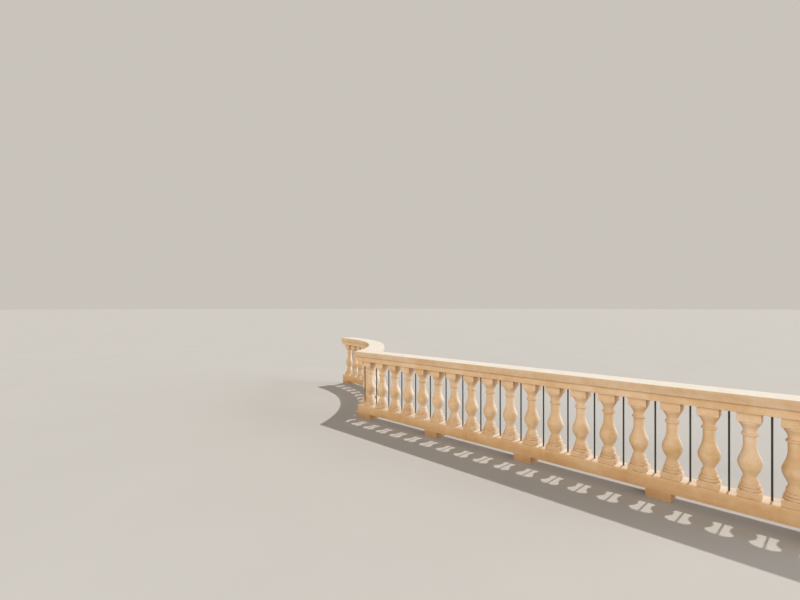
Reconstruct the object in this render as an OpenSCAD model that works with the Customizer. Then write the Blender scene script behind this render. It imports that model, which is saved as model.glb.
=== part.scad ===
// Stone balustrade: a straight run and a curved length that meet at a mitred corner.
// Turned balusters stand between a wide top rail and a bottom rail on short feet.
// A thin iron bar stands in the middle of every gap.
// Millimetres. X follows the straight run, +Y is the outer side, +Z is up.
// The origin is on the floor, under the crossing of the two centre lines at the corner.

/* [Spacing] */
// Distance from one baluster to the next, measured along the centre line
baluster_pitch = 243.8; // [200:0.1:320]
// Balusters in one straight bay
straight_bay_count = 5; // [3:1:8]
// Balusters in one curved bay
curved_bay_count = 6; // [3:1:8]
// Radius of the centre line of the curved length
curve_radius = 2926; // [2400:1:4000]
// Change of direction at the corner, between the two centre lines
corner_turn = 61.6; // [40:0.1:80]

/* [Heights] */
// Height of the top of the top rail over the floor
total_height = 927; // [850:1:1100]
// Height of the feet
foot_height = 70; // [40:1:90]
// Height of the bottom rail
bottom_rail_height = 113; // [80:1:140]
// Height of the top rail
top_rail_height = 134; // [125:1:170]

/* [Top rail] */
// Width over the flat top
cap_width = 254; // [235:1:300]
// Height of the upper face of the top rail
cap_height = 72; // [50:1:90]
// Rounding of the upper edge of the top rail
cap_edge_round = 7; // [2:0.5:12]
// Rounding under the upper face
cap_lip_round = 10; // [4:0.5:12]
// Width of the lower band of the top rail
bed_width = 200; // [180:1:205]
// Radius of the hollow between the two bands
bed_hollow = 14; // [6:0.5:15]

/* [Bottom rail and feet] */
// Width of the bottom rail
bottom_rail_width = 176; // [165:1:230]
// Bevel along the upper edges of the bottom rail
bottom_rail_bevel = 6; // [2:0.5:12]
// Width of the feet across the rail
foot_width = 176; // [150:1:230]
// Length of a foot along the rail
foot_length = 187; // [120:1:240]
// Length of the corner foot along each centre line
corner_foot_length = 198; // [140:1:240]
// How far the first foot stands past the rail joint over it
foot_past_joint = 75; // [0:1:90]
// How much nearer to its joint each next foot stands
foot_creep = 18; // [0:1:30]

/* [Baluster blocks and foot rings] */
// Side of the square blocks
block_size = 140; // [120:1:155]
// Height of the base block
base_block_height = 47; // [35:1:60]
// Height of the upper block
top_block_height = 70; // [40:1:85]
// How far the lower ring and the upper disc stand inside the faces of the blocks
disc_inset = 2; // [1:0.5:8]
// Thickness of the disc under the upper block
top_disc_height = 10; // [3:0.5:16]
// Height of each of the two rings on the base block
ring_height = 22.5; // [14:0.5:26]
// How much slimmer the second ring is than the first, in radius
ring_step = 6.5; // [3:0.5:10]
// Rounding of the edges of the rings
ring_round = 4; // [1:0.5:6]
// Height of the plain band over the rings
band_height = 20; // [8:1:24]
// How much slimmer the band is than the second ring, in radius
band_step = 9; // [4:0.5:12]

/* [Baluster turning] */
// Radius at the waist
waist_radius = 40; // [30:0.5:46]
// Height of the waist over the base of the baluster
waist_level = 143; // [135:1:170]
// Largest radius of the belly
belly_radius = 74; // [60:0.5:80]
// Height of the middle of the belly
belly_level = 243; // [225:1:275]
// How soon the lower belly swells over the waist, 1 is an even curve
belly_power = 0.8; // [0.6:0.05:1.4]
// Radius of the neck
neck_radius = 41; // [32:0.5:46]
// Length of the straight neck under the collar ring
neck_length = 40; // [20:1:100]
// How late the upper belly narrows into the neck, 1 is an even curve
neck_power = 1.5; // [1:0.1:2.5]
// Radius of the collar ring
collar_radius = 53; // [50:0.5:60]
// Half the thickness of the collar ring
collar_half = 11.5; // [6:0.5:12]
// How far the middle of the collar ring is under the upper flare
collar_drop = 29; // [14:1:36]
// Height of the upper flare
flare_height = 54; // [40:1:75]
// How late the upper flare opens, 1 is a straight cone
flare_power = 1.4; // [1:0.1:3]

/* [Iron bars] */
// Thickness of an iron bar
bar_diameter = 14; // [10:0.5:20]

/* [Hidden] */
$fn = 72;
baluster_height = total_height - top_rail_height - foot_height - bottom_rail_height;
baluster_base = foot_height + bottom_rail_height;
soffit_level = total_height - top_rail_height;
cap_underside = total_height - cap_height;
straight_bay_length = straight_bay_count * baluster_pitch;
run_length = 4 * straight_bay_length;
pitch_angle = baluster_pitch / curve_radius * 180 / PI;
curved_bay_angle = curved_bay_count * pitch_angle;
curve_start = 90 - corner_turn;
curve_centre = [-curve_radius * cos(curve_start), -curve_radius * sin(curve_start)];
bay_1_end = straight_bay_length;
bay_2_end = 2 * straight_bay_length;
bay_3_end = 3 * straight_bay_length;
curve_end_angle = 2 * curved_bay_angle;
mitre_angle = 90 - corner_turn / 2;
mitre_run_in = cap_width;
cut_reach = 2 * cap_width;
disc_radius = block_size / 2 - disc_inset;
flare_high = baluster_height - top_block_height - top_disc_height;
flare_low = flare_high - flare_height;
collar_middle = flare_low - collar_drop;
neck_low = collar_middle - collar_half - neck_length;
block_inside = baluster_height - top_block_height / 2;
ring_radius = disc_radius - ring_step;
band_radius = ring_radius - band_step;
ring_joint = base_block_height + ring_height;
ring_top = ring_joint + ring_height;
band_top = ring_top + band_height;
bead_steps = 4;
curve_steps = 8;

// A point at a distance and an angle from the origin
function polar(radius, angle) = radius * [cos(angle), sin(angle)];

// Points on a circular arc, for the rail sections
function arc_points(middle, radius, from, to, steps) =
    [for (i = [0:steps]) middle + polar(radius, from + (to - from) * i / steps)];

// A soft S-curve from 0 to 1
function ease(t) = (1 - cos(180 * t)) / 2;

// Profile points between two heights, eased from one radius to the other
function eased(z0, r0, z1, r1, power, steps) =
    [for (i = [1:steps])
        [r0 + (r1 - r0) * ease(pow(i / steps, power)), z0 + (z1 - z0) * i / steps]];

// Profile points that narrow to a slimmer radius, the power brings the slim end in sooner
function narrowed(z0, r0, z1, r1, power, steps) =
    [for (i = [1:steps])
        [r1 + (r0 - r1) * ease(pow(1 - i / steps, power)), z0 + (z1 - z0) * i / steps]];

// The outer side of a ring with rounded edges
function ring_side(low, high, radius) = concat(
    arc_points([radius - ring_round, low + ring_round], ring_round, -90, 0, bead_steps / 2),
    arc_points([radius - ring_round, high - ring_round], ring_round, 0, 90, bead_steps / 2));

// Profile points of the upper flare
function flared(z0, r0, z1, r1, steps) =
    [for (i = [1:steps]) [r0 + (r1 - r0) * pow(i / steps, flare_power), z0 + (z1 - z0) * i / steps]];

// Angle along the curve that a length takes up
function curve_angle(length) = length / curve_radius * 180 / PI;

// Middles of the three rounds in the section of the top rail
upper_edge = [cap_width / 2 - cap_edge_round, total_height - cap_edge_round];
lower_lip = [cap_width / 2 - cap_lip_round, cap_underside + cap_lip_round];
hollow_middle = [bed_width / 2 + bed_hollow, cap_underside - bed_hollow];

// Right half of the section of the top rail, from the top down
function top_rail_half() = concat(
    arc_points(upper_edge, cap_edge_round, 90, 0, bead_steps),
    arc_points(lower_lip, cap_lip_round, 0, -90, bead_steps),
    arc_points(hollow_middle, bed_hollow, 90, 180, bead_steps),
    [[bed_width / 2, soffit_level]]);

// The left half of a section, made from its right half
function mirrored(points) =
    [for (i = [len(points) - 1:-1:0]) [-points[i][0], points[i][1]]];

// Sections are drawn across the rail, with the height upward
module top_rail_section() {
    polygon(concat(top_rail_half(), mirrored(top_rail_half())));
}

module bottom_rail_section() {
    half = bottom_rail_width / 2;
    polygon([
        [half - bottom_rail_bevel, baluster_base],
        [half, baluster_base - bottom_rail_bevel],
        [half, foot_height],
        [-half, foot_height],
        [-half, baluster_base - bottom_rail_bevel],
        [-half + bottom_rail_bevel, baluster_base]
    ]);
}

module foot_section() {
    translate([-foot_width / 2, 0])
        square([foot_width, foot_height]);
}

// A section carried along the straight run
module along_run(from, to) {
    translate([from, 0, 0])
        rotate([90, 0, 90])
            linear_extrude(height = to - from)
                children();
}

// A section carried along the curve, angles counted from the corner
module along_curve(from, to) {
    translate(curve_centre)
        rotate([0, 0, curve_start + from])
            rotate_extrude(angle = to - from, $fn = 180)
                translate([curve_radius, 0])
                    children();
}

// The part of space on one side of the mitre plane
module beyond_mitre(side) {
    rotate([0, 0, mitre_angle])
        translate([-cut_reach, side > 0 ? 0 : -cut_reach, -1])
            cube([2 * cut_reach, cut_reach, total_height + 2]);
}

module mitred_run(to) {
    difference() {
        along_run(-mitre_run_in, to)
            children();
        beyond_mitre(1);
    }
}

module mitred_curve(to) {
    difference() {
        along_curve(-curve_angle(mitre_run_in), to)
            children();
        beyond_mitre(-1);
    }
}

// Places things on the curve, turned to face across it
module on_curve(pitches) {
    translate(curve_centre)
        rotate([0, 0, curve_start + pitches * pitch_angle])
            translate([curve_radius, 0, 0])
                children();
}

module turned_vase() {
    collar_side = [collar_radius - collar_half, collar_middle];
    rotate_extrude()
        polygon(concat(
            [[0, base_block_height / 2]],
            ring_side(base_block_height / 2, ring_joint, disc_radius),
            ring_side(ring_joint, ring_top, ring_radius),
            [[band_radius, ring_top], [band_radius, band_top]],
            eased(band_top, band_radius, waist_level, waist_radius, 1, curve_steps / 2),
            eased(waist_level, waist_radius, belly_level, belly_radius, belly_power, curve_steps),
            narrowed(belly_level, belly_radius, neck_low, neck_radius, neck_power, curve_steps),
            [[neck_radius, collar_middle - collar_half]],
            arc_points(collar_side, collar_half, -90, 90, 2 * bead_steps),
            [[neck_radius, collar_middle + collar_half], [neck_radius, flare_low]],
            flared(flare_low, neck_radius, flare_high, disc_radius, curve_steps),
            [[disc_radius, block_inside], [0, block_inside]]));
}

module square_block(height) {
    translate([-block_size / 2, -block_size / 2, 0])
        cube([block_size, block_size, height]);
}

module baluster() {
    translate([0, 0, baluster_base]) {
        square_block(base_block_height);
        turned_vase();
        translate([0, 0, baluster_height - top_block_height])
            square_block(top_block_height);
    }
}

module iron_bar() {
    translate([0, 0, baluster_base])
        cylinder(d = bar_diameter, h = baluster_height, $fn = 32);
}

module straight_balusters(bay) {
    for (i = [0:straight_bay_count - 1])
        translate([bay * straight_bay_length + (i + 0.5) * baluster_pitch, 0, 0])
            baluster();
}

module curved_balusters(bay) {
    for (i = [0:curved_bay_count - 1])
        on_curve(bay * curved_bay_count + i + 0.5)
            baluster();
}

module straight_bars(bay, count) {
    for (i = [1:count])
        translate([bay * straight_bay_length + i * baluster_pitch, 0, 0])
            iron_bar();
}

module curved_bars(bay, count) {
    for (i = [1:count])
        on_curve(bay * curved_bay_count + i)
            iron_bar();
}

// Place of a foot along the straight run, counted from the corner
function foot_place(number) =
    number * straight_bay_length + foot_past_joint - (number - 1) * foot_creep;

module straight_foot(middle) {
    along_run(middle - foot_length / 2, middle + foot_length / 2)
        foot_section();
}

module curved_foot(middle) {
    half_angle = curve_angle(foot_length / 2);
    along_curve(middle - half_angle, middle + half_angle)
        foot_section();
}

// The corner foot has one leg along each centre line, its outline is drawn in plan
function corner_foot_outline() =
    let (
        half = foot_width / 2,
        mitre_point = polar(half / sin(mitre_angle), mitre_angle),
        leg_angle = 90 + curve_start + curve_angle(corner_foot_length) / 2,
        leg_end = polar(corner_foot_length, leg_angle),
        aside = polar(half, leg_angle + 90)
    )
    [
        -mitre_point,
        [corner_foot_length, -half],
        [corner_foot_length, half],
        mitre_point,
        leg_end - aside,
        leg_end + aside
    ];

stone = [0.80, 0.66, 0.50];
iron = [0.06, 0.06, 0.06];

// The second half of the curve, from the joint of its two bays to its end
module second_curve() {
    along_curve(curved_bay_angle, curve_end_angle)
        children();
}

module top_rail_1() color(stone) mitred_run(bay_1_end) top_rail_section();
module top_rail_2() color(stone) along_run(bay_1_end, bay_2_end) top_rail_section();
module top_rail_3() color(stone) along_run(bay_2_end, bay_3_end) top_rail_section();
module top_rail_4() color(stone) along_run(bay_3_end, run_length) top_rail_section();
module curved_top_rail_1() color(stone) mitred_curve(curved_bay_angle) top_rail_section();
module curved_top_rail_2() color(stone) second_curve() top_rail_section();

module bottom_rail_1() color(stone) mitred_run(bay_1_end) bottom_rail_section();
module bottom_rail_2() color(stone) along_run(bay_1_end, bay_2_end) bottom_rail_section();
module bottom_rail_3() color(stone) along_run(bay_2_end, bay_3_end) bottom_rail_section();
module bottom_rail_4() color(stone) along_run(bay_3_end, run_length) bottom_rail_section();
module curved_bottom_rail_1() color(stone) mitred_curve(curved_bay_angle) bottom_rail_section();
module curved_bottom_rail_2() color(stone) second_curve() bottom_rail_section();

module corner_foot() color(stone) linear_extrude(height = foot_height) polygon(corner_foot_outline());
module foot_1() color(stone) straight_foot(foot_place(1));
module foot_2() color(stone) straight_foot(foot_place(2));
module foot_3() color(stone) straight_foot(foot_place(3));
module run_end_foot() color(stone) straight_foot(run_length - foot_length / 2);
module curved_foot_1() color(stone) curved_foot(curved_bay_angle);
module wall_end_foot() color(stone) curved_foot(curve_end_angle - curve_angle(foot_length / 2));

module balusters_1() color(stone) straight_balusters(0);
module balusters_2() color(stone) straight_balusters(1);
module balusters_3() color(stone) straight_balusters(2);
module balusters_4() color(stone) straight_balusters(3);
module curved_balusters_1() color(stone) curved_balusters(0);
module curved_balusters_2() color(stone) curved_balusters(1);

module corner_bar() color(iron) iron_bar();
module iron_bars_1() color(iron) straight_bars(0, straight_bay_count);
module iron_bars_2() color(iron) straight_bars(1, straight_bay_count);
module iron_bars_3() color(iron) straight_bars(2, straight_bay_count);
module iron_bars_4() color(iron) straight_bars(3, straight_bay_count - 1);
module curved_iron_bars_1() color(iron) curved_bars(0, curved_bay_count);
module curved_iron_bars_2() color(iron) curved_bars(1, curved_bay_count - 1);

top_rail_1();
top_rail_2();
top_rail_3();
top_rail_4();
curved_top_rail_1();
curved_top_rail_2();
bottom_rail_1();
bottom_rail_2();
bottom_rail_3();
bottom_rail_4();
curved_bottom_rail_1();
curved_bottom_rail_2();
corner_foot();
foot_1();
foot_2();
foot_3();
run_end_foot();
curved_foot_1();
wall_end_foot();
balusters_1();
balusters_2();
balusters_3();
balusters_4();
curved_balusters_1();
curved_balusters_2();
corner_bar();
iron_bars_1();
iron_bars_2();
iron_bars_3();
iron_bars_4();
curved_iron_bars_1();
curved_iron_bars_2();
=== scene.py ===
import math
from collections import namedtuple
from functools import partialmethod

import bmesh
import bpy
from bpy.props import FloatProperty, FloatVectorProperty, IntProperty, PointerProperty
from mathutils import Matrix, Vector, noise


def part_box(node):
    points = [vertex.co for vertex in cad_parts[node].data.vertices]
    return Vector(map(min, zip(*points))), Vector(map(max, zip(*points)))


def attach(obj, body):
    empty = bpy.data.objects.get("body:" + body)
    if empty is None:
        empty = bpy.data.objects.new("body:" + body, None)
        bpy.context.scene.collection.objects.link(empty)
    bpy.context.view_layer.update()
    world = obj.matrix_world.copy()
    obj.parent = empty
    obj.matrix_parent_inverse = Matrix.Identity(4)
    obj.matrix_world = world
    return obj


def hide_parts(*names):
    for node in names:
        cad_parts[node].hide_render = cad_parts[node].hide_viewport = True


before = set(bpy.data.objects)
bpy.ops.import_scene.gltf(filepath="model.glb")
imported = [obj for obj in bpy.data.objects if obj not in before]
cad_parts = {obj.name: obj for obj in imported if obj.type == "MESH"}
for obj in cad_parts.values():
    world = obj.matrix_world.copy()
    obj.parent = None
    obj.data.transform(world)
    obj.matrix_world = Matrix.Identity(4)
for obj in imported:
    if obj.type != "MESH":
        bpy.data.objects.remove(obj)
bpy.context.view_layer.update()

bl_info = {
    "name": "Stone balustrade",
    "version": (1, 0, 0),
    "blender": (4, 5, 0),
    "location": "3D View > Sidebar > Balustrade",
    "description": "Cast stone balustrade with turned balusters, iron bars and a curved return",
    "category": "Add Mesh",
}

# Places that the frame already holds
TOP_LOW, TOP_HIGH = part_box("top_rail_2")
LOW_LOW, LOW_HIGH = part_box("bottom_rail_2")
FOOT_LOW, FOOT_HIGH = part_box("foot_1")
BAR_LOW, BAR_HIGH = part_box("corner_bar")

# Bays of the straight run and of the curve, with the balusters in each
STRAIGHT_BAYS, STRAIGHT_COUNT = 4, 5
CURVED_BAYS, CURVED_COUNT = 2, 6

# Fineness of the meshes: the plain strip along the middle of a flat face, the widest
# gap between points, and the angle past which an edge stays sharp
PLAIN_STRIP = 0.012
RAIL_STEP, FOOT_STEP = 0.018, 0.012
BAR_SIDES, BAR_ROWS = 20, 14
CREASE, BAR_CREASE = math.radians(38), math.radians(50)
QUARTER_ROUND = [math.pi / 2 * i / 3 for i in range(4)]

# Wear of the rails and feet: unevenness of the faces, how strong a noise chips an
# arris, and the scale of each noise
UNEVENNESS, CHIPS_ABOVE = 0.0003, 0.28
UNEVEN_SCALE, CHIP_SCALE, CRUMB_SCALE = 7.0, 46.0, 120.0


def length(name, description, default, **limits):
    return FloatProperty(name=name, description=description, default=default,
                         unit="LENGTH", precision=4, **limits)


def number(name, description, default, least):
    return IntProperty(name=name, description=description, default=default, min=least)


def colour(name, description, default):
    return FloatVectorProperty(name=name, description=description, default=default,
                               subtype="COLOR", min=0.0, max=1.0)


def strength(name, description, default):
    return FloatProperty(name=name, description=description, default=default, min=0.0)


class BalustradeLayout(bpy.types.PropertyGroup):
    """Spacing of the pieces along the two lengths of the balustrade"""

    pitch: length("Baluster pitch", "From one baluster to the next along the centre line",
                  (TOP_HIGH.x - TOP_LOW.x) / STRAIGHT_COUNT, min=0.1)
    straight_count: number("Balusters in a straight bay", "Between two joints of the straight rails",
                           STRAIGHT_COUNT, 1)
    curved_count: number("Balusters in a curved bay", "Between two joints of the curved rails",
                         CURVED_COUNT, 1)
    curve_radius: length("Curve radius", "Radius of the centre line of the curved length", 2.926, min=1.0)
    corner_turn: FloatProperty(name="Corner turn", description="Change of direction at the corner",
                               default=math.radians(61.6), subtype="ANGLE", unit="ROTATION")
    joint: length("Mortar joint", "Width of the joints between the lengths of rail", 0.0010, min=0.0)


class BalustradeSections(bpy.types.PropertyGroup):
    """Sizes across the rails and the feet, and the wear of every stone"""

    cap_height: length("Cap height", "Height of the upper face of the top rail", 0.072)
    cap_edge: length("Cap edge", "Rounding of the upper edges of the top rail", 0.007)
    cap_lip: length("Cap lip", "Rounding under the upper face", 0.010)
    bed_width: length("Bed width", "Width of the lower band of the top rail", 0.200)
    hollow: length("Hollow", "Radius of the hollow between the two bands", 0.014)
    bevel: length("Lower rail bevel", "Bevel along the upper edges of the bottom rail", 0.006)
    arris: length("Arris", "Rounding of the worn corners of the stones", 0.003)
    wear: length("Wear", "Depth of the deepest chips along the arrises", 0.0025, min=0.0)


class BalustradeTurning(bpy.types.PropertyGroup):
    """Sizes of one baluster, upwards from its foot"""

    block: length("Block", "Side of the square blocks", 0.140)
    base: length("Base block", "Height of the base block", 0.047)
    ring: length("Rings", "Height of each ring on the base block", 0.0225)
    band: length("Band", "Height of the plain band over the rings", 0.020)
    waist: length("Waist", "Radius of the waist", 0.040)
    waist_level: length("Waist level", "Height of the waist above the foot", 0.143)
    belly: length("Belly", "Radius of the belly", 0.074)
    belly_level: length("Belly level", "Height of the belly above the foot", 0.243)
    neck: length("Neck", "Radius of the neck", 0.041)
    neck_length: length("Neck length", "Straight part of the neck under the collar", 0.040)
    collar: length("Collar", "Radius of the collar ring", 0.053)
    collar_half: length("Collar half", "Half of the height of the collar ring", 0.0115)
    collar_drop: length("Collar drop", "From the foot of the flare down to the collar", 0.029)
    flare: length("Flare", "Height of the flare over the neck", 0.054)
    top_disc: length("Top disc", "Height of the disc over the flare", 0.010)
    top: length("Upper block", "Height of the upper block", 0.070)
    columns: number("Columns", "Columns of faces round a baluster, a multiple of eight", 56, 16)


class BalustradeFinish(bpy.types.PropertyGroup):
    """Colours of the stone, the mortar and the paint"""

    stone: colour("Stone", "Main colour of the stone", (0.690, 0.462, 0.258))
    stone_pale: colour("Pale stone", "Paler clouds in the stone", (0.760, 0.560, 0.365))
    stone_deep: colour("Deep stone", "Deeper, ochre clouds in the stone", (0.590, 0.360, 0.170))
    # Paler colour for the cap top, the open rail top and the sides that face the sun: bleaching together with
    # painted sunlight
    bleached: colour("Bleached stone", "Faces paler from bleaching and painted sunlight", (0.725, 0.685, 0.620))
    # Dark colour for dirt in pits and mortar, and also for painted shade near the floor and on faces that look
    # down
    dirt_and_shade: colour("Soil and shade", "Dirt near the floor and under the lips", (0.230, 0.150, 0.080))
    mortar: colour("Mortar", "Mortar in the joints", (0.600, 0.410, 0.230))
    paint: colour("Paint", "Black paint on the bars", (0.016, 0.015, 0.014))
    paint_dull: colour("Dull paint", "Chalked places in the paint", (0.045, 0.042, 0.038))
    rust: colour("Rust", "Rust at the ends of the bars", (0.120, 0.042, 0.016))


class BalustradeStage(bpy.types.PropertyGroup):
    """Floor, light and camera"""

    floor: colour("Floor", "Colour of the floor", (0.49, 0.47, 0.445))
    backdrop: colour("Backdrop", "Colour of the backdrop", (0.585, 0.548, 0.502))
    ambient: strength("Ambient light", "Even light from all round", 0.24)
    key: strength("Key light", "Soft light from behind and above", 2.5)
    rim: strength("Rim light", "Very soft light from the end of the run and the outer side", 2.6)
    fill: strength("Fill light", "Wide, low light on the terrace side", 2.4)


# Paths along the two lengths. A place on a path is given by the share of its
# length, the distance across to the outer side and the height.
def start_angle(layout):
    return math.pi / 2 - layout.corner_turn


def mitre_angle(layout):
    return math.pi / 2 - layout.corner_turn / 2


def mitre_line(layout):
    return Vector((math.cos(mitre_angle(layout)), math.sin(mitre_angle(layout)), 0.0))


def curve_centre(layout):
    turn = start_angle(layout)
    return Vector((-layout.curve_radius * math.cos(turn), -layout.curve_radius * math.sin(turn), 0.0))


def mitre_reach_on_curve(layout, across):
    """Distance along the mitre line to the arc that runs across from the centre line"""
    along = -layout.curve_radius * math.cos(mitre_angle(layout) - start_angle(layout))
    return along + math.sqrt(along ** 2 + 2 * layout.curve_radius * across + across ** 2)


def straight_path(layout, start, end):
    """Path along the straight run; a start of None is the mitre"""
    slope = 1 / math.tan(mitre_angle(layout))
    gap = layout.joint / 2 / math.sin(mitre_angle(layout))

    def place(share, across, height):
        first = across * slope + gap if start is None else start
        return Vector((first + (end - first) * share, across, height))

    return place, end - (start or 0.0)


def curved_path(layout, start, end):
    """Path along the curve, in lengths from the corner; a start of None is the mitre"""
    centre = curve_centre(layout)
    radius = layout.curve_radius
    line = mitre_line(layout)

    def place(share, across, height):
        if start is None:
            point = line * mitre_reach_on_curve(layout, across) - centre
            first = math.atan2(point.y, point.x) + layout.joint / 2 / radius
        else:
            first = start_angle(layout) + start / radius
        last = start_angle(layout) + end / radius
        angle = first + (last - first) * share
        reach = radius + across
        return centre + Vector((reach * math.cos(angle), reach * math.sin(angle), height))

    return place, end - (start or 0.0)


def corner_path(layout, leg):
    """Path through the corner, from the end of the curved leg to the end of the straight leg"""
    straight, _ = straight_path(layout, None, leg)
    curve, _ = curved_path(layout, None, leg)

    def place(share, across, height):
        if share < 0.5:
            return curve(1 - 2 * share, across, height)
        return straight(2 * share - 1, across, height)

    return place, 2 * leg


def path_of(layout, curved, start, end):
    return (curved_path if curved else straight_path)(layout, start, end)


# Sections. Each is the half to the outer side, from the top down, as points of
# distance across, height and how much of an arris the point is.
def arc(across, height, radius, begin, end, steps, arris=1.0):
    angles = [math.radians(begin + (end - begin) * i / steps) for i in range(steps + 1)]
    return [(across + radius * math.cos(a), height + radius * math.sin(a), arris) for a in angles]


def joined(*runs):
    """Joins arcs with points on the flat faces between them"""
    points = []
    for run in runs:
        if points:
            (x, z), (next_x, next_z) = points[-1][:2], run[0][:2]
            steps = max(1, round(math.dist((x, z), (next_x, next_z)) / RAIL_STEP))
            points += [(x + (next_x - x) * i / steps, z + (next_z - z) * i / steps, 0.0)
                       for i in range(1, steps)]
        points += run
    return points


def top_rail_section(sizes):
    half, high, low = TOP_HIGH.y, TOP_HIGH.z, TOP_LOW.z
    under = high - sizes.cap_height
    hollow = sizes.bed_width / 2 + sizes.hollow
    return joined(
        [(PLAIN_STRIP, high, 0.0)],
        arc(half - sizes.cap_edge, high - sizes.cap_edge, sizes.cap_edge, 90, 0, 5),
        arc(half - sizes.cap_lip, under + sizes.cap_lip, sizes.cap_lip, 0, -90, 5),
        arc(hollow, under - sizes.hollow, sizes.hollow, 90, 180, 6, 0.0),
        arc(sizes.bed_width / 2 - sizes.arris, low + sizes.arris, sizes.arris, 0, -90, 3),
        [(PLAIN_STRIP, low, 0.0)])


def bottom_rail_section(sizes):
    half, high, low = LOW_HIGH.y, LOW_HIGH.z, LOW_LOW.z
    cut = sizes.bevel
    soft = cut * 0.35
    return joined(
        [(PLAIN_STRIP, high, 0.0)],
        [(half - cut - soft, high, 0.4), (half - cut, high - soft * 0.3, 1.0)],
        [(half - soft * 0.3, high - cut, 1.0), (half, high - cut - soft, 0.4)],
        arc(half - sizes.arris / 2, low + sizes.arris / 2, sizes.arris / 2, 0, -90, 3),
        [(PLAIN_STRIP, low, 0.0)])


def foot_section(sizes):
    half, high, low = FOOT_HIGH.y, FOOT_HIGH.z, FOOT_LOW.z
    return joined(
        [(PLAIN_STRIP, high, 0.0)],
        [(half, high, 0.0)],
        arc(half - sizes.arris, low + sizes.arris, sizes.arris, 0, -90, 3),
        [(PLAIN_STRIP, low, 0.0)])


def shrunk(section, amount):
    """The section drawn in by an amount, for the rounded ends of a stone"""
    points = []
    last = len(section) - 1
    for i, (across, height, arris) in enumerate(section):
        before, after = section[max(i - 1, 0)], section[min(i + 1, last)]
        run, drop = after[0] - before[0], after[1] - before[1]
        size = math.hypot(run, drop)
        points.append((across + drop / size * amount, height - run / size * amount, arris))
    return points


def stations(length, rounding, step):
    """Shares of the length where the section is placed, each with how far it is drawn in"""
    ends = [(rounding * (1 - math.cos(a)), rounding * (1 - math.sin(a))) for a in QUARTER_ROUND]
    count = max(2, round((length - 2 * rounding) / step))
    inner = [(rounding + (length - 2 * rounding) * i / count, 0.0) for i in range(1, count)]
    both = ends + inner + [(length - distance, inset) for distance, inset in reversed(ends)]
    return [(distance / length, inset) for distance, inset in both]


# Meshes
def placed(name, mesh):
    """A finished object at the origin"""
    obj = bpy.data.objects.new(name, mesh)
    bpy.context.scene.collection.objects.link(obj)
    return obj


def plain_mesh(name, shape, crease=CREASE):
    """Turns a bmesh into a mesh with smooth faces and its sharp edges kept"""
    mesh = bpy.data.meshes.new(name)
    shape.to_mesh(mesh)
    shape.free()
    mesh.shade_smooth()
    mesh.set_sharp_from_angle(angle=crease)
    return mesh


def bridged(shape, first, second):
    """The faces between two loops of as many points"""
    size = len(first)
    return [shape.faces.new((first[i], first[(i + 1) % size], second[(i + 1) % size], second[i]))
            for i in range(size)]


def close_stack(shape, loops):
    """Closes a stack of level loops into one skin, with a point in the middle of each end"""
    for first, second in zip(loops, loops[1:]):
        bridged(shape, first, second)
    for loop in (loops[0], loops[-1]):
        pole = shape.verts.new((0.0, 0.0, loop[0].co.z))
        for i in range(len(loop)):
            shape.faces.new((loop[i], loop[(i + 1) % len(loop)], pole))
    bmesh.ops.recalc_face_normals(shape, faces=shape.faces)


def chip(point, arris, wear):
    """How far weather has taken the surface back at a point"""
    broad = 0.5 + 0.5 * noise.noise(point * UNEVEN_SCALE)
    fine = noise.noise(point * CHIP_SCALE) + 0.5 * noise.noise(point * CRUMB_SCALE)
    return UNEVENNESS * broad + wear * arris * max(0.0, fine - CHIPS_ABOVE)


def add_sweep(shape, section, path, step, rounding, wear, arris_layer):
    """Carries a section along a path as one closed solid"""
    place, length = path
    rings = []
    for share, inset in stations(length, rounding, step):
        half = shrunk(section, inset)
        ring = []
        for across, height, arris in half + [(-a, h, s) for a, h, s in reversed(half)]:
            vertex = shape.verts.new(place(share, across, height))
            vertex[arris_layer] = max(arris, 1.0 if inset > 0 else 0.0)
            ring.append(vertex)
        rings.append(ring)
    faces = [face for first, second in zip(rings, rings[1:]) for face in bridged(shape, first, second)]
    size = len(rings[0])
    for ring in (rings[0], rings[-1]):
        faces += [shape.faces.new((ring[i], ring[i + 1], ring[size - 2 - i], ring[size - 1 - i]))
                  for i in range(size // 2 - 1)]
    bmesh.ops.recalc_face_normals(shape, faces=faces)
    shape.normal_update()
    if sum(f.normal.dot(f.calc_center_median()) * f.calc_area() for f in faces) < 0:
        bmesh.ops.reverse_faces(shape, faces=faces)
        shape.normal_update()
    if wear > 0:
        moves = [(v, v.normal * chip(v.co, v[arris_layer], wear)) for ring in rings for v in ring]
        for vertex, move in moves:
            vertex.co -= move


def swept_stone(name, section, path, step, rounding, wear, tint):
    shape = bmesh.new()
    arris_layer = shape.verts.layers.float.new("arris")
    tint_layer = shape.verts.layers.float.new("tint")
    add_sweep(shape, section, path, step, rounding, wear, arris_layer)
    for vertex in shape.verts:
        vertex[tint_layer] = tint
    return placed(name, plain_mesh(name, shape))


# Baluster: one closed skin of rings, square for the blocks and round for the turning
DISC_INSET, RING_STEP, BAND_STEP = 0.002, 0.0065, 0.009
BLOCK_CORNER, SEAT_SHARE = 0.0035, 1 / 8
# The two rings on the base block: how far the groove under each cuts in, how far up
# the ring starts, and its rounding under and over; a hair keeps two loops apart
GROOVES, STARTS, UNDER, OVER = (0.0035, 0.0030), (0.0005, 0.0006), (0.0025, 0.0022), 0.0045
HAIR = 0.0001
CORNER_COLUMNS = [math.radians(offset) for offset in (-2.0, -1.2, -0.45, 0.45, 1.2, 2.0)]
BELLY_POWER, NECK_POWER, FLARE_POWER = 0.8, 1.5, 1.4


def ease(t):
    return (1 - math.cos(math.pi * t)) / 2


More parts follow.
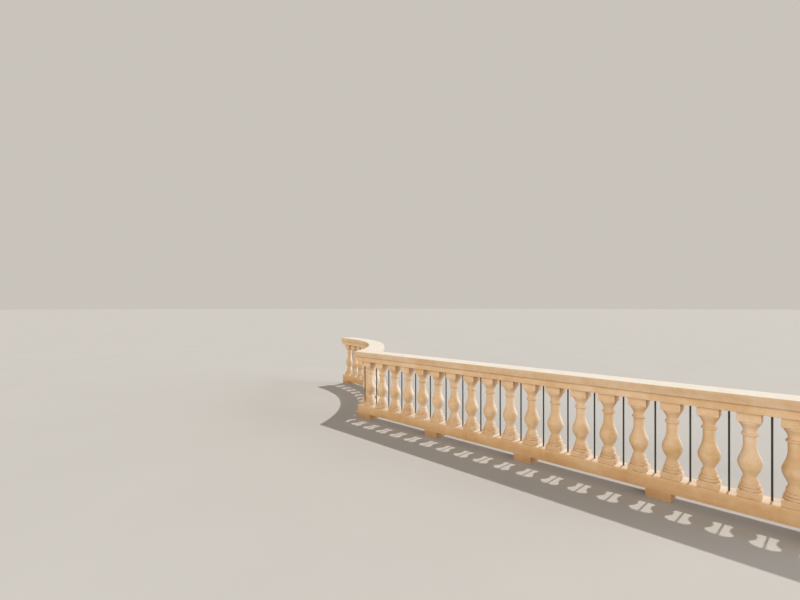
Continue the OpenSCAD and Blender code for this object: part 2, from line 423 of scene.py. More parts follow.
def baluster_rings(turning, arris, height):
    """Rings from the bottom up, as kind, half width or radius, height and arris"""
    rings = []
    half = turning.block / 2
    disc = half - DISC_INSET
    ring = disc - RING_STEP
    band = ring - BAND_STEP
    neck = turning.neck
    ring_joint = turning.base + turning.ring
    ring_top = ring_joint + turning.ring
    band_top = ring_top + turning.band
    upper_low = height - turning.top
    flare_high = upper_low - turning.top_disc
    flare_low = flare_high - turning.flare
    collar = flare_low - turning.collar_drop
    collar_half = turning.collar_half
    neck_low = collar - collar_half - turning.neck_length

    def square(inset, level, worn=0.0):
        rings.append(("square", half - inset, level, worn))

    def turned(radius, level, worn=0.0):
        rings.append(("round", radius, level, worn))

    def block(low, high, low_edge, high_edge):
        for angle in QUARTER_ROUND:
            square(low_edge * (1 - math.sin(angle)), low + low_edge * (1 - math.cos(angle)), 1.0)
        for i in range(1, 5):
            square(0.0, low + low_edge + (high - low - low_edge - high_edge) * i / 5)
        for angle in QUARTER_ROUND:
            square(high_edge * (1 - math.cos(angle)), high - high_edge * (1 - math.sin(angle)), 1.0)

    def bead(radius, low, high, under, over):
        for angle in QUARTER_ROUND:
            turned(radius - under * (1 - math.sin(angle)), low + under * (1 - math.cos(angle)), 0.3)
        turned(radius, (low + high) / 2)
        for angle in QUARTER_ROUND:
            turned(radius - over * (1 - math.cos(angle)), high - over * (1 - math.sin(angle)), 0.5)

    def swell(radius, low, next_radius, high, steps, rule):
        for i in range(1, steps + 1):
            turned(radius + (next_radius - radius) * rule(i / steps), low + (high - low) * i / steps)

    block(0.0, turning.base, arris * SEAT_SHARE, arris)
    turned(disc - GROOVES[0], turning.base)
    bead(disc, turning.base + STARTS[0], ring_joint, UNDER[0], OVER)
    turned(ring - GROOVES[1], ring_joint + HAIR)
    bead(ring, ring_joint + STARTS[1], ring_top, UNDER[1], OVER)
    turned(band, ring_top + 4 * HAIR)
    turned(band, ring_top + turning.band / 2)
    turned(band, band_top - 20 * HAIR, 0.4)
    swell(band, band_top, turning.waist, turning.waist_level, 8, ease)
    swell(turning.waist, turning.waist_level, turning.belly, turning.belly_level, 14,
          lambda t: ease(t ** BELLY_POWER))
    swell(turning.belly, turning.belly_level, neck, neck_low, 16, lambda t: 1 - ease((1 - t) ** NECK_POWER))
    turned(neck, (neck_low + collar) / 2)
    turned(neck, collar - collar_half - 10 * HAIR)
    for i in range(9):
        angle = math.pi * (i / 8 - 0.5)
        radius = turning.collar - collar_half * (1 - math.cos(angle))
        turned(radius, collar + collar_half * math.sin(angle), 0.3)
    turned(neck, collar + collar_half + 10 * HAIR)
    turned(neck, flare_low)
    swell(neck, flare_low, disc, flare_high, 8, lambda t: t ** FLARE_POWER)
    turned(disc, upper_low - 25 * HAIR)
    turned(disc - 15 * HAIR, upper_low)
    block(upper_low, height, arris, arris * SEAT_SHARE)
    return rings


def column_angles(count):
    """Angles of the columns: even, with a few close together at the four corners of the blocks"""
    angles = [2 * math.pi * i / count for i in range(count) if i % (count // 4) != count // 8]
    for corner in range(4):
        angles += [math.pi / 4 + corner * math.pi / 2 + offset for offset in CORNER_COLUMNS]
    return sorted(angles)


def square_point(half, rounding, angle):
    """Where a ray from the middle meets a square with rounded corners"""
    c, s = abs(math.cos(angle)), abs(math.sin(angle))
    reach = half / max(c, s)
    corner = half - rounding
    if min(c, s) * reach > corner:
        middle = corner * (c + s)
        reach = middle + math.sqrt(max(middle ** 2 - 2 * corner ** 2 + rounding ** 2, 0.0))
    return Vector((reach * math.cos(angle), reach * math.sin(angle), 0.0))


def baluster_mesh(turning, arris, height):
    """One baluster with its base at the origin"""
    shape = bmesh.new()
    arris_layer = shape.verts.layers.float.new("arris")
    loops = []
    for kind, reach, level, worn in baluster_rings(turning, arris, height):
        loop = []
        for angle in column_angles(turning.columns):
            corner = kind == "square" and abs(abs(math.sin(2 * angle)) - 1) < 0.004
            point = square_point(reach, BLOCK_CORNER, angle) if kind == "square" \
                else Vector((reach * math.cos(angle), reach * math.sin(angle), 0.0))
            vertex = shape.verts.new(point + Vector((0.0, 0.0, level)))
            vertex[arris_layer] = 1.0 if corner else worn
            loop.append(vertex)
        loops.append(loop)
    close_stack(shape, loops)
    return plain_mesh("baluster", shape)


def bar_mesh(height, diameter):
    """One round bar with its foot at the origin"""
    shape = bmesh.new()
    shape.verts.layers.float.new("arris")
    angles = [math.tau * i / BAR_SIDES for i in range(BAR_SIDES)]
    close_stack(shape, [[shape.verts.new((diameter / 2 * math.cos(a), diameter / 2 * math.sin(a),
                                          height * row / BAR_ROWS)) for a in angles]
                        for row in range(BAR_ROWS + 1)])
    return plain_mesh("bar", shape, BAR_CREASE)


# Node trees
class Wiring:
    """Adds nodes to one tree and links them"""

    def __init__(self, tree):
        self.tree = tree

    def feed(self, socket, value):
        """Links a socket to an input, or sets the input's own value"""
        if isinstance(value, bpy.types.NodeSocket):
            self.tree.links.new(value, socket)
        elif socket.type == "RGBA":
            socket.default_value = (*value[:3], 1.0)
        else:
            socket.default_value = value

    def node(self, kind, settings=(), **inputs):
        """A node with its options set and its inputs fed, each by its name, or by _ and its number"""
        made = self.tree.nodes.new(kind)
        for key, value in dict(settings).items():
            setattr(made, key, value)
        for key, value in inputs.items():
            self.feed(made.inputs[int(key[1:]) if key[0] == "_" else key.replace("_", " ")], value)
        return made

    def result(self, kind, settings=(), **inputs):
        """The first output of a node"""
        return self.node(kind, settings, **inputs).outputs[0]

    def maths(self, operation, *values):
        made = self.node("ShaderNodeMath", {"operation": operation})
        for socket, value in zip(made.inputs, values):
            self.feed(socket, value)
        return made.outputs[0]

    plus = partialmethod(maths, "ADD")
    minus = partialmethod(maths, "SUBTRACT")
    times = partialmethod(maths, "MULTIPLY")
    most = partialmethod(maths, "MAXIMUM")

    def scaled(self, vector, size):
        return self.result("ShaderNodeVectorMath", {"operation": "SCALE"}, _0=vector, Scale=size)

    def parts(self, vector):
        return self.node("ShaderNodeSeparateXYZ", Vector=vector).outputs

    def noise(self, vector, scale, detail=2.0, roughness=0.5, distortion=0.0):
        return self.result("ShaderNodeTexNoise", Vector=vector, Scale=scale, Detail=detail,
                           Roughness=roughness, Distortion=distortion)

    def span(self, value, low, high, begin=0.0, end=1.0):
        """Runs from begin to end as the value runs from low to high, and stays there"""
        return self.result("ShaderNodeMapRange", Value=value, From_Min=low, From_Max=high,
                           To_Min=begin, To_Max=end)

    def mixed(self, share, first, second, kind="MIX"):
        return self.node("ShaderNodeMix", {"data_type": "RGBA", "blend_type": kind},
                         _0=share, _6=first, _7=second).outputs[2]

    def over(self, under, mask, amount, paint):
        """A colour laid over another where a mask says"""
        return self.mixed(self.times(mask, amount), under, paint)

    def toned(self, under, mask, tone):
        """A colour multiplied by another where a mask says"""
        return self.mixed(mask, under, self.mixed(1.0, under, tone, "MULTIPLY"))

    def bumped(self, shader, strength, distance, height):
        self.feed(shader["Normal"], self.result("ShaderNodeBump", Strength=strength, Distance=distance,
                                                Height=height))

    def group(self, name, build, **inputs):
        """The outputs of a shared shader group, which is built on its first use"""
        return self.node("ShaderNodeGroup", {"node_tree": shared_tree(name, build)}, **inputs).outputs


def shared_tree(name, build):
    return bpy.data.node_groups.get(name) or build(name)


def row_tree(name):
    """Sets copies of one piece along the straight run or along the curve, each a little different"""
    tree = bpy.data.node_groups.new(name, "GeometryNodeTree")
    for socket, kind in (("Piece", "Geometry"), ("Count", "Int"), ("Pitch", "Float"), ("First", "Float"),
                         ("Height", "Float"), ("Curved", "Bool"), ("Radius", "Float"),
                         ("Start angle", "Float"), ("Looseness", "Float"), ("Wear", "Float"),
                         ("Seed", "Int"), ("Finish", "Material")):
        tree.interface.new_socket(socket, in_out="INPUT", socket_type="NodeSocket" + kind)
    tree.interface.new_socket("Row", in_out="OUTPUT", socket_type="NodeSocketGeometry")
    w = Wiring(tree)
    given = w.node("NodeGroupInput").outputs

    # Place of each copy
    along = w.plus(given["First"], w.times(w.result("GeometryNodeInputIndex"), given["Pitch"]))
    angle = w.plus(given["Start angle"], w.maths("DIVIDE", along, given["Radius"]))

    def from_start(function):
        return w.minus(w.times(given["Radius"], w.maths(function, angle)),
                       w.times(given["Radius"], w.maths(function, given["Start angle"])))

    bent = w.result("ShaderNodeCombineXYZ", X=from_start("COSINE"), Y=from_start("SINE"), Z=given["Height"])
    level = w.result("ShaderNodeCombineXYZ", X=along, Z=given["Height"])
    place = w.result("GeometryNodeSwitch", {"input_type": "VECTOR"}, Switch=given["Curved"], _1=level, _2=bent)
    points = w.result("GeometryNodePoints", Count=given["Count"], Position=place)

    # Turn of each copy: a quarter turn at random and a little slack
    quarter = w.node("FunctionNodeRandomValue", {"data_type": "INT"}, _4=0, _5=3, Seed=given["Seed"]).outputs[2]

    def random(low, high, offset):
        return w.node("FunctionNodeRandomValue", {"data_type": "FLOAT"}, _2=low, _3=high,
                      Seed=w.plus(given["Seed"], offset)).outputs[1]

    facing = w.result("GeometryNodeSwitch", {"input_type": "FLOAT"}, Switch=given["Curved"], _1=0.0, _2=angle)
    slack = w.times(random(-1.0, 1.0, 11.0), given["Looseness"])
    yaw = w.plus(facing, w.plus(w.times(quarter, math.pi / 2), slack))
    turn = w.result("FunctionNodeEulerToRotation", _0=w.result("ShaderNodeCombineXYZ", Z=yaw))
    row = w.result("GeometryNodeInstanceOnPoints", Points=points, Instance=given["Piece"], Rotation=turn)
    tinted = w.result("GeometryNodeStoreNamedAttribute", {"data_type": "FLOAT", "domain": "INSTANCE"},
                      Geometry=row, Name="tint", Value=random(0.5, 1.0, 5.0))
    real = w.result("GeometryNodeRealizeInstances", Geometry=tinted)

    # Wear
    position = w.result("GeometryNodeInputPosition")
    arris = w.result("GeometryNodeInputNamedAttribute", {"data_type": "FLOAT"}, Name="arris")
    broad = w.result("ShaderNodeTexNoise", Vector=position, Scale=9.0, Detail=1.0)
    fine = w.result("ShaderNodeTexNoise", Vector=position, Scale=48.0, Detail=2.0)
    chips = w.times(arris, w.most(w.minus(fine, 0.56), 0.0))
    depth = w.times(given["Wear"], w.plus(w.times(broad, 0.15), w.times(chips, 3.0)))
    offset = w.scaled(w.result("GeometryNodeInputNormal"), w.times(depth, -1.0))
    worn = w.result("GeometryNodeSetPosition", Geometry=real, Offset=offset)
    w.node("NodeGroupOutput", _0=w.result("GeometryNodeSetMaterial", Geometry=worn, Material=given["Finish"]))
    return tree


def row_of(layout, name, mesh, **values):
    """Runs the row tree on one piece and keeps the result as a plain mesh object"""
    values |= {"pitch": layout.pitch, "radius": layout.curve_radius, "start_angle": start_angle(layout)}
    tree = shared_tree("Row along the rails", row_tree)
    source = placed(name + "_source", mesh)
    rule = source.modifiers.new("Row", "NODES")
    rule.node_group = tree
    for item in tree.interface.items_tree:
        key = item.name.replace(" ", "_").lower()
        if item.item_type == "SOCKET" and item.in_out == "INPUT" and key in values:
            rule[item.identifier] = values[key]
    graph = bpy.context.evaluated_depsgraph_get()
    result = bpy.data.meshes.new_from_object(source.evaluated_get(graph))
    bpy.data.objects.remove(source)
    if not result.vertices:
        raise RuntimeError("the row " + name + " came out empty")
    result.name = name
    return placed(name, result)


# Shader groups
def shader_group(name, inputs, outputs):
    """A new group. An input with a default is a number, the others are vectors, and outputs are numbers."""
    tree = bpy.data.node_groups.new(name, "ShaderNodeTree")
    for socket, value in inputs.items():
        kind = "NodeSocketVector" if value is None else "NodeSocketFloat"
        made = tree.interface.new_socket(socket, in_out="INPUT", socket_type=kind)
        if value is not None:
            made.default_value = value
    for socket in outputs:
        tree.interface.new_socket(socket, in_out="OUTPUT", socket_type="NodeSocketFloat")
    return Wiring(tree), tree.nodes.new("NodeGroupInput").outputs, tree.nodes.new("NodeGroupOutput").inputs


def stone_clouds(name):
    """Soft clouds and a faint bedding in the stone"""
    w, given, out = shader_group(name, {"Vector": None, "Size": 1.0, "Bedding": 0.3}, ("Pale", "Deep"))
    wide = w.scaled(given["Vector"], given["Size"])
    beds = w.noise(w.result("ShaderNodeMapping", Vector=wide, Scale=(0.35, 0.6, 6.0)), 5.0, 3.0, 0.6, 0.4)
    large = w.noise(wide, 3.1, 4.0, 0.55, 0.3)
    small = w.noise(wide, 17.0, 3.0, 0.6)
    clouds = w.plus(large, w.times(w.minus(small, 0.5), 0.45))
    clouds = w.plus(clouds, w.times(w.minus(beds, 0.5), given["Bedding"]))
    w.feed(out["Pale"], w.span(clouds, 0.50, 0.74))
    w.feed(out["Deep"], w.span(clouds, 0.48, 0.26))
    return w.tree


def sandy_grain(name):
    """Sandy grain and small pits, as a height and a mask"""
    w, given, out = shader_group(name, {"Vector": None, "Grain": 420.0, "Pits": 130.0},
                                 ("Height", "Pit", "Speckle"))
    sand = w.noise(given["Vector"], given["Grain"], 3.0, 0.7)
    cells = w.result("ShaderNodeTexVoronoi", Vector=given["Vector"], Scale=given["Pits"])
    patches = w.span(w.noise(given["Vector"], 21.0, 2.0), 0.46, 0.66)
    pit = w.times(w.span(cells, 0.26, 0.10), patches)
    w.feed(out["Height"], w.minus(w.times(sand, 0.35), w.times(pit, 0.65)))
    w.feed(out["Pit"], pit)
    w.feed(out["Speckle"], w.span(sand, 0.35, 0.65))
    return w.tree


def weather(name):
    """Where faces are painted paler for bleaching and sunlight, where dirt and painted shade darken them, where
    arrises are rubbed pale, and where painted shade deepens towards the floor
    """
    w, given, out = shader_group(name, {"Vector": None, "Arris": 0.0, "Floor dirt": 0.085},
                                 ("Bleached", "Dirt", "Rubbed", "Damp"))
    facing = w.parts(w.node("ShaderNodeNewGeometry").outputs["Normal"])
    height = w.parts(given["Vector"])[2]
    blotch = w.noise(given["Vector"], 8.0, 4.0, 0.6)
    fine = w.noise(given["Vector"], 38.0, 3.0, 0.6)

    # Level faces on the cap and on the open top of the bottom rail are painted paler: bleaching together with
    # painted sunlight
    on_cap = w.span(height, TOP_LOW.z, TOP_LOW.z + 0.03)
    on_rail = w.times(w.span(height, LOW_HIGH.z + 0.01, LOW_HIGH.z, 0.0, 0.75),
                      w.span(given["Arris"], 0.0, 0.4, 1.0, 0.0))
    level = w.times(w.span(facing[2], 0.75, 0.98), w.span(blotch, 0.2, 0.62, 0.72, 1.0))
    level = w.times(level, w.most(on_cap, on_rail))

    # Upright faces are painted paler on the outer side and on the flanks that catch the sun, less under the
    # shelter of the cap: bleaching together with painted sunlight
    in_open = w.most(w.span(height, 0.52, 0.72, 1.0, 0.15), on_cap)
    sunny = w.plus(w.times(facing[0], 0.87), w.times(facing[1], 0.5))
    over_feet = w.span(height, FOOT_HIGH.z - 0.005, FOOT_HIGH.z + 0.005)
    flank = w.times(w.span(sunny, 0.5, 0.92, 0.0, 0.75), over_feet)
    upright = w.times(w.most(w.span(facing[1], 0.05, 0.65, 0.0, 0.75), flank), in_open)
    w.feed(out["Bleached"], w.most(level, upright))

    # Dirt together with painted shade: darker near the floor and on faces that look down
    near_floor = w.times(w.span(height, given["Floor dirt"], 0.0), w.span(fine, 0.3, 0.7))
    under = w.times(w.span(facing[2], -0.35, -0.95), w.span(blotch, 0.35, 0.7))
    w.feed(out["Dirt"], w.most(near_floor, w.times(under, 0.5)))
    w.feed(out["Rubbed"], w.times(given["Arris"], w.span(fine, 0.35, 0.7)))
    # Painted shade: darker from the top of the bottom rail down to the floor
    w.feed(out["Damp"], w.span(height, LOW_HIGH.z + 0.01, 0.03))
    return w.tree


# Materials
# Tones that multiply the stone's colour, and the heights between which they come and go
TINT_LOW, TINT_HIGH = (0.96, 0.94, 0.90), (1.04, 1.07, 1.17)
# Painted shade: tones that make the bottom rail browner at its top and darker at its foot
RAIL_SHADE_TOP, RAIL_SHADE_FOOT = (0.96, 0.92, 0.84), (0.70, 0.58, 0.44)
DARKER_LOW, COOL, STAINED = (0.90, 0.86, 0.80), (0.89, 0.91, 0.97), (0.93, 0.93, 0.78)
DARKER_LOW_TOP, STAIN_LOW, STAIN_HIGH = 0.40, (0.30, 0.38), (0.49, 0.42)
CAP_FACE = (TOP_HIGH.z - 0.074, TOP_HIGH.z - 0.069)


def finish_of(name, build, finish):
    """The material of that name, which is built on its first use"""
    made = bpy.data.materials.get(name)
    if made is None:
        made = bpy.data.materials.new(name)
        made.use_nodes = True
        w = Wiring(made.node_tree)
        build(w, w.tree.nodes["Principled BSDF"].inputs, w.node("ShaderNodeTexCoord").outputs["Object"], finish)
    return made


def cast_stone(w, shader, place, finish):
    """Weathered cast stone, warm and matte, with painted sunlight and painted shade"""
    tint, arris = [w.node("ShaderNodeAttribute", {"attribute_name": name}).outputs["Fac"]
                   for name in ("tint", "arris")]
    shift = w.result("ShaderNodeCombineXYZ", X=w.times(tint, 9.0))
    own = w.result("ShaderNodeVectorMath", {"operation": "ADD"}, _0=place, _1=shift)
    height = w.parts(place)[2]
    clouds = w.group("Stone clouds", stone_clouds, Vector=own)
    grain = w.group("Sandy grain", sandy_grain, Vector=own)
    # The weather outputs include painted sunlight and painted shade as well as wear
    worn = w.group("Weather", weather, Vector=place, Arris=arris)

    # Clouds, and a tone of its own for each baluster
    colour = w.over(finish.stone, clouds["Pale"], 0.9, finish.stone_pale)
    colour = w.over(colour, clouds["Deep"], 0.85, finish.stone_deep)
    colour = w.mixed(1.0, colour, w.mixed(tint, TINT_LOW, TINT_HIGH), "MULTIPLY")

    # The bottom rail is browner and darker towards the floor, as painted shade; the lower balusters are darker
    # towards the bottom; the cap is cooler and the bellies stained
    in_rail = w.maths("LESS_THAN", height, LOW_HIGH.z)
    low = w.times(w.span(height, DARKER_LOW_TOP, LOW_HIGH.z), w.minus(1.0, in_rail))
    cap = w.span(height, *CAP_FACE)
    band = w.times(w.span(height, *STAIN_LOW), w.span(height, *STAIN_HIGH))
    stain = w.times(band, w.span(w.noise(own, 10.0, 2.0), 0.46, 0.60))
    for mask, tone in ((in_rail, w.mixed(worn["Damp"], RAIL_SHADE_TOP, RAIL_SHADE_FOOT)), (low, DARKER_LOW), (cap, COOL),
                       (stain, STAINED)):
        colour = w.toned(colour, mask, tone)

    # Weather and painted light: paler tops and sunny sides, dirt and painted shade, rubbed arrises; then pits
    # and grit
    for mask, amount, paint in (
            (worn["Bleached"], 0.92, finish.bleached), (worn["Rubbed"], 0.35, finish.stone_pale),
            (worn["Dirt"], 0.55, finish.dirt_and_shade), (grain["Pit"], 0.45, finish.dirt_and_shade)):
        colour = w.over(colour, mask, amount, paint)
    grit = w.span(grain["Speckle"], 0.0, 1.0, 0.93, 1.07)
    grit = w.result("ShaderNodeCombineColor", Red=grit, Green=grit, Blue=grit)
    w.feed(shader["Base Color"], w.mixed(1.0, colour, grit, "MULTIPLY"))
    w.feed(shader["Roughness"], w.span(grain["Speckle"], 0.0, 1.0, 0.80, 0.95))
    w.feed(shader["Specular IOR Level"], 0.3)
    w.bumped(shader, 0.35, 0.0012, grain["Height"])


def lime_mortar(w, shader, place, finish):
    """Sandy mortar, a little darker than the stone"""
    grain = w.group("Sandy grain", sandy_grain, Vector=place, Grain=300.0, Pits=90.0)
    worn = w.group("Weather", weather, Vector=place)
    colour = w.over(finish.mortar, w.noise(place, 14.0, 4.0), 0.3, finish.dirt_and_shade)
    colour = w.over(colour, grain["Speckle"], 0.25, finish.stone_pale)
    # Mortar on tops and sun-facing sides is painted paler: bleaching together with painted sunlight
    w.feed(shader["Base Color"], w.over(colour, worn["Bleached"], 0.8, finish.bleached))
    w.feed(shader["Roughness"], w.span(grain["Speckle"], 0.0, 1.0, 0.85, 0.97))
    w.bumped(shader, 0.5, 0.001, grain["Height"])


def black_iron(w, shader, place, finish):
    """Black satin paint over iron, rusty where the bars enter the stone"""
    reach = (BAR_HIGH.z - BAR_LOW.z) / 2
    from_middle = w.maths("ABSOLUTE", w.minus(w.parts(place)[2], (BAR_LOW.z + BAR_HIGH.z) / 2))
    blotch = w.span(w.noise(place, 60.0, 4.0, 0.65), 0.42, 0.62)
    specks = w.span(w.noise(place, 140.0, 3.0, 0.7), 0.66, 0.74)
    rust = w.most(w.times(w.span(from_middle, reach - 0.045, reach), blotch), w.times(specks, 0.5))
    dull = w.noise(place, 24.0, 4.0, 0.6)
    paint = w.over(finish.paint, dull, 0.3, finish.paint_dull)
    w.feed(shader["Base Color"], w.mixed(rust, paint, finish.rust))
    w.feed(shader["Roughness"], w.plus(w.span(dull, 0.3, 0.7, 0.38, 0.55), w.times(rust, 0.35)))
    w.bumped(shader, 0.25, 0.0006, w.plus(dull, w.times(rust, 0.8)))


def studio_floor(w, shader, place, stage):
    pale = [min(1.0, c * 1.04) for c in stage.floor]
    dim = [c * 0.97 for c in stage.floor]
    w.feed(shader["Base Color"], w.mixed(w.noise(place, 0.7, 3.0), dim, pale))
    w.feed(shader["Roughness"], 0.95)
    w.feed(shader["Specular IOR Level"], 0.1)


# Pieces
Bay = namedtuple("Bay", "number curved start end count last")

# Places in the tints of the stone, from 0 to 1; a row of balusters draws its own
TOP_RAIL_TINT, LOW_TINT = 0.40, 0.30
# Rounding of the ends of a stone, as a share of its arris
RAIL_END, FOOT_END = 0.3, 0.7
# How far mortar stands back and laps into the joint, and how far pieces may turn in a row
MORTAR_INSET, MORTAR_LAP = 0.0006, 0.0002
BALUSTER_SLACK, BAR_SLACK, BAR_WEAR = 0.012, 1.0, 0.0006
BAR_SEED, CURVE_SEED = 3, 20


def bays(layout):
    """Every bay, with its start and end along the centre line"""
    found = []
    for curved, total, count in ((False, STRAIGHT_BAYS, layout.straight_count),
                                 (True, CURVED_BAYS, layout.curved_count)):
        size = layout.pitch * count
        found += [Bay(i + 1, curved, i * size, (i + 1) * size, count, i + 1 == total) for i in range(total)]
    return found


def node_of(kind, bay):
    return f"{'curved_' if bay.curved else ''}{kind}_{bay.number}"


def dress(obj, material, slot, *nodes):
    """Gives a finished piece its material and its place in the frame"""
    obj.data.materials.clear()
    obj.data.materials.append(material)
    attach(obj, "root")
    if nodes:
        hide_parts(*nodes)


def add_rails(scene, kind, section, tint):
    """Adds one length of rail a bay, drawn back by half a joint at each end that meets another"""
    layout, sizes = scene.balustrade_layout, scene.balustrade_sections
    half = layout.joint / 2
    for bay in bays(layout):
        start = None if bay.number == 1 else bay.start + half
        path = path_of(layout, bay.curved, start, bay.end if bay.last else bay.end - half)
        node = node_of(kind, bay)
        obj = swept_stone(node + "_stone", section(sizes), path, RAIL_STEP, sizes.arris * RAIL_END,
                          sizes.wear, tint)
        dress(obj, finish_of("Cast stone", cast_stone, scene.balustrade_finish), "cast_stone", node)


class BALUSTRADE_OT_top_rails(bpy.types.Operator):
    """Add the lengths of the top rail"""

    bl_idname = "balustrade.top_rails"
    bl_label = "Top rails"

    def execute(self, context):
        add_rails(context.scene, "top_rail", top_rail_section, TOP_RAIL_TINT)
        return {"FINISHED"}


class BALUSTRADE_OT_bottom_rails(bpy.types.Operator):
    """Add the lengths of the bottom rail"""

    bl_idname = "balustrade.bottom_rails"
    bl_label = "Bottom rails"

    def execute(self, context):
        add_rails(context.scene, "bottom_rail", bottom_rail_section, LOW_TINT)
        return {"FINISHED"}


class BALUSTRADE_OT_feet(bpy.types.Operator):
    """Add the feet under the bottom rail"""

    bl_idname = "balustrade.feet"
    bl_label = "Feet"

    def execute(self, context):
        layout, sizes = context.scene.balustrade_layout, context.scene.balustrade_sections
        stone = finish_of("Cast stone", cast_stone, context.scene.balustrade_finish)
        paths = {"corner_foot": corner_path(layout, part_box("corner_foot")[1].x)}
        for node in ("foot_1", "foot_2", "foot_3", "run_end_foot"):
            low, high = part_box(node)
            paths[node] = straight_path(layout, low.x, high.x)
        size = FOOT_HIGH.x - FOOT_LOW.x
        joint = layout.pitch * layout.curved_count
        paths["curved_foot_1"] = curved_path(layout, joint - size / 2, joint + size / 2)
        paths["wall_end_foot"] = curved_path(layout, 2 * joint - size, 2 * joint)
        for node, path in paths.items():
            obj = swept_stone(node + "_stone", foot_section(sizes), path, FOOT_STEP, sizes.arris * FOOT_END,
                              sizes.wear, LOW_TINT)
            dress(obj, stone, "cast_stone", node)
        return {"FINISHED"}


class BALUSTRADE_OT_balusters(bpy.types.Operator):
    """Add the turned balusters, one row a bay"""

    bl_idname = "balustrade.balusters"
    bl_label = "Balusters"

    def execute(self, context):
        layout, sizes = context.scene.balustrade_layout, context.scene.balustrade_sections
        stone = finish_of("Cast stone", cast_stone, context.scene.balustrade_finish)
        for bay in bays(layout):
            node = node_of("balusters", bay)
            mesh = baluster_mesh(context.scene.balustrade_turning, sizes.arris, TOP_LOW.z - LOW_HIGH.z)
            obj = row_of(layout, node + "_stone", mesh, count=bay.count, first=bay.start + layout.pitch / 2,
                         height=LOW_HIGH.z, curved=bay.curved, looseness=BALUSTER_SLACK, wear=sizes.wear,
                         seed=bay.number + CURVE_SEED * bay.curved, finish=stone)
            dress(obj, stone, "cast_stone", node)
        return {"FINISHED"}


class BALUSTRADE_OT_bars(bpy.types.Operator):
    """Add the iron bars between the balusters"""

    bl_idname = "balustrade.bars"
    bl_label = "Iron bars"

    def execute(self, context):
        layout = context.scene.balustrade_layout
        iron = finish_of("Black iron", black_iron, context.scene.balustrade_finish)
        rows = [("corner_bar", False, 0.0, 1)]
        rows += [(node_of("iron_bars", bay), bay.curved, bay.start + layout.pitch,
                  bay.count - (1 if bay.last else 0)) for bay in bays(layout)]
        for node, curved, first, count in rows:
            mesh = bar_mesh(BAR_HIGH.z - BAR_LOW.z, BAR_HIGH.x - BAR_LOW.x)
            obj = row_of(layout, node + "_painted", mesh, count=count, first=first, height=BAR_LOW.z,
                         curved=curved, looseness=BAR_SLACK, wear=BAR_WEAR, seed=BAR_SEED, finish=iron)
            dress(obj, iron, "black_iron", node)
        return {"FINISHED"}


class BALUSTRADE_OT_mortar(bpy.types.Operator):
    """Add the mortar in the joints between the lengths of rail"""

    bl_idname = "balustrade.mortar"
    bl_label = "Mortar"

    def execute(self, context):
        layout, sizes = context.scene.balustrade_layout, context.scene.balustrade_sections
        mortar = finish_of("Lime mortar", lime_mortar, context.scene.balustrade_finish)
        half = layout.joint / 2 + MORTAR_LAP
        line = mitre_line(layout)
        side = Vector((-line.y, line.x, 0.0))

        def at_mitre(share, across, height):
            return line * across / line.y + side * half * (1 - 2 * share) + Vector((0.0, 0.0, height))

        paths = [path_of(layout, bay.curved, bay.end - half, bay.end + half)
                 for bay in bays(layout) if not bay.last]
        paths.append((at_mitre, 2 * half))
        for rail, section in (("top_rail", top_rail_section), ("bottom_rail", bottom_rail_section)):
            shape = bmesh.new()
            arris_layer = shape.verts.layers.float.new("arris")
            inner = shrunk(section(sizes), MORTAR_INSET)
            for path in paths:
                add_sweep(shape, inner, path, 1.0, half * 0.2, 0.0, arris_layer)
            name = rail + "_joints"
            dress(placed(name, plain_mesh(name, shape)), mortar, "cast_stone")
        return {"FINISHED"}


# Stage: lamps, as name, spread in degrees, colour and the direction that the light comes from
LAMPS = (
    ("key", 1.2, (1.0, 0.97, 0.92), (0.0186, 0.532, 0.8465)),
    ("rim", 40.0, (0.90, 0.95, 1.0), (0.83, 0.52, 0.20)),
    ("fill", 60.0, (1.0, 0.955, 0.89), (0.14, -0.95, 0.26)),
)
AMBIENT_COLOUR = (1.0, 0.985, 0.96)
FLOOR_SIZE = 400.0

# Camera: its place, its level direction to the right, and its lens in pixels of the picture
CAMERA_PLACE, CAMERA_RIGHT = (4.655, -4.011, 1.5485), (0.7118, 0.7023, 0.0)
PICTURE_WIDTH, FOCAL_PIXELS, SHIFT_PIXELS = 800, 431, 7.3


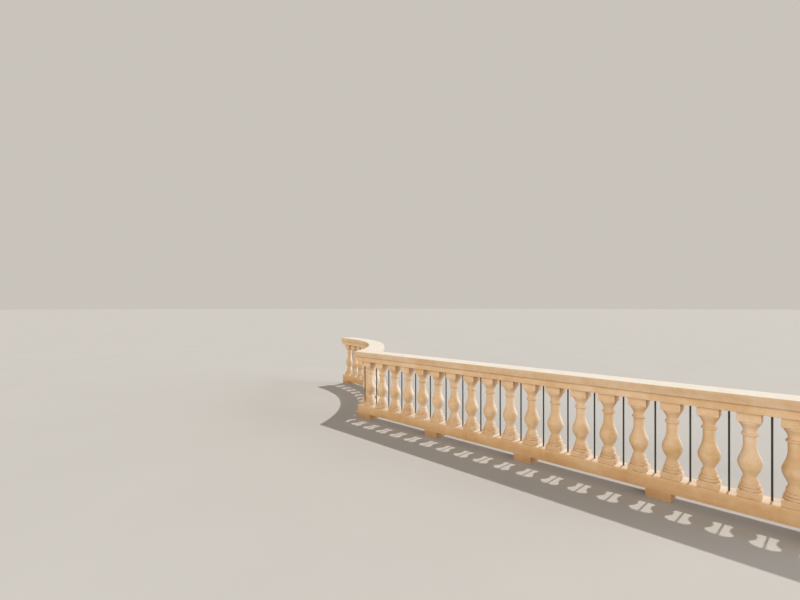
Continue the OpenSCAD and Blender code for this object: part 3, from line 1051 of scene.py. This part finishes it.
class BALUSTRADE_OT_stage(bpy.types.Operator):
    """Add the floor, the backdrop, the lights and the camera"""

    bl_idname = "balustrade.stage"
    bl_label = "Stage"

    def execute(self, context):
        scene = context.scene
        stage = scene.balustrade_stage
        shape = bmesh.new()
        bmesh.ops.create_grid(shape, x_segments=8, y_segments=8, size=FLOOR_SIZE)
        floor = placed("studio_floor", plain_mesh("studio_floor", shape))
        floor.data.materials.append(finish_of("Studio floor", studio_floor, stage))

        world = bpy.data.worlds.new("Studio backdrop")
        scene.world = world
        world.use_nodes = True
        w = Wiring(world.node_tree)
        light = w.tree.nodes["Background"]
        w.feed(light.inputs["Color"], AMBIENT_COLOUR)
        w.feed(light.inputs["Strength"], stage.ambient)
        seen = w.result("ShaderNodeBackground", Color=stage.backdrop, Strength=1.0)
        ray = w.node("ShaderNodeLightPath").outputs
        direct = w.most(ray["Is Camera Ray"], w.most(ray["Is Glossy Ray"], ray["Is Transmission Ray"]))
        mix = w.result("ShaderNodeMixShader", _0=direct, _1=light.outputs[0], _2=seen)
        w.feed(w.tree.nodes["World Output"].inputs["Surface"], mix)

        for name, spread, colour, source in LAMPS:
            sun = bpy.data.lights.new(name + "_light", "SUN")
            sun.energy = getattr(stage, name)
            sun.angle = math.radians(spread)
            sun.color = colour
            lamp = placed(name + "_light", sun)
            lamp.rotation_euler = Vector(source).to_track_quat("Z", "Y").to_euler()

        lens = bpy.data.cameras.new("camera")
        lens.lens = FOCAL_PIXELS / PICTURE_WIDTH * lens.sensor_width
        lens.shift_y = SHIFT_PIXELS / PICTURE_WIDTH
        camera = placed("camera", lens)
        right = Vector(CAMERA_RIGHT).normalized()
        ahead = Vector((-right.y, right.x, 0.0))
        turn = Matrix((right, Vector((0.0, 0.0, 1.0)), -ahead)).transposed()
        camera.matrix_world = Matrix.Translation(CAMERA_PLACE) @ turn.to_4x4()
        scene.camera = camera
        scene.view_settings.view_transform = "Standard"
        return {"FINISHED"}


class BALUSTRADE_PT_sidebar(bpy.types.Panel):
    """Sizes, colours and pieces of the balustrade"""

    bl_idname = "BALUSTRADE_PT_sidebar"
    bl_label = "Balustrade"
    bl_space_type = "VIEW_3D"
    bl_region_type = "UI"
    bl_category = "Balustrade"

    def draw(self, context):
        column = self.layout.column()
        for name, group in GROUPS.items():
            column.label(text=name.split("_")[1].capitalize())
            for key in group.__annotations__:
                column.prop(getattr(context.scene, name), key)
        for step in STEPS:
            column.operator(step.bl_idname)


GROUPS = {
    "balustrade_layout": BalustradeLayout,
    "balustrade_sections": BalustradeSections,
    "balustrade_turning": BalustradeTurning,
    "balustrade_finish": BalustradeFinish,
    "balustrade_stage": BalustradeStage,
}
STEPS = (
    BALUSTRADE_OT_top_rails,
    BALUSTRADE_OT_bottom_rails,
    BALUSTRADE_OT_feet,
    BALUSTRADE_OT_balusters,
    BALUSTRADE_OT_bars,
    BALUSTRADE_OT_mortar,
    BALUSTRADE_OT_stage,
)


def register():
    for item in (*GROUPS.values(), *STEPS, BALUSTRADE_PT_sidebar):
        bpy.utils.register_class(item)
    for name, group in GROUPS.items():
        setattr(bpy.types.Scene, name, PointerProperty(type=group))


def unregister():
    for name in GROUPS:
        delattr(bpy.types.Scene, name)
    for item in reversed((*GROUPS.values(), *STEPS, BALUSTRADE_PT_sidebar)):
        bpy.utils.unregister_class(item)


def main():
    register()
    for step in STEPS:
        getattr(bpy.ops.balustrade, step.bl_idname.split(".")[1])()


if __name__ == "__main__":
    main()
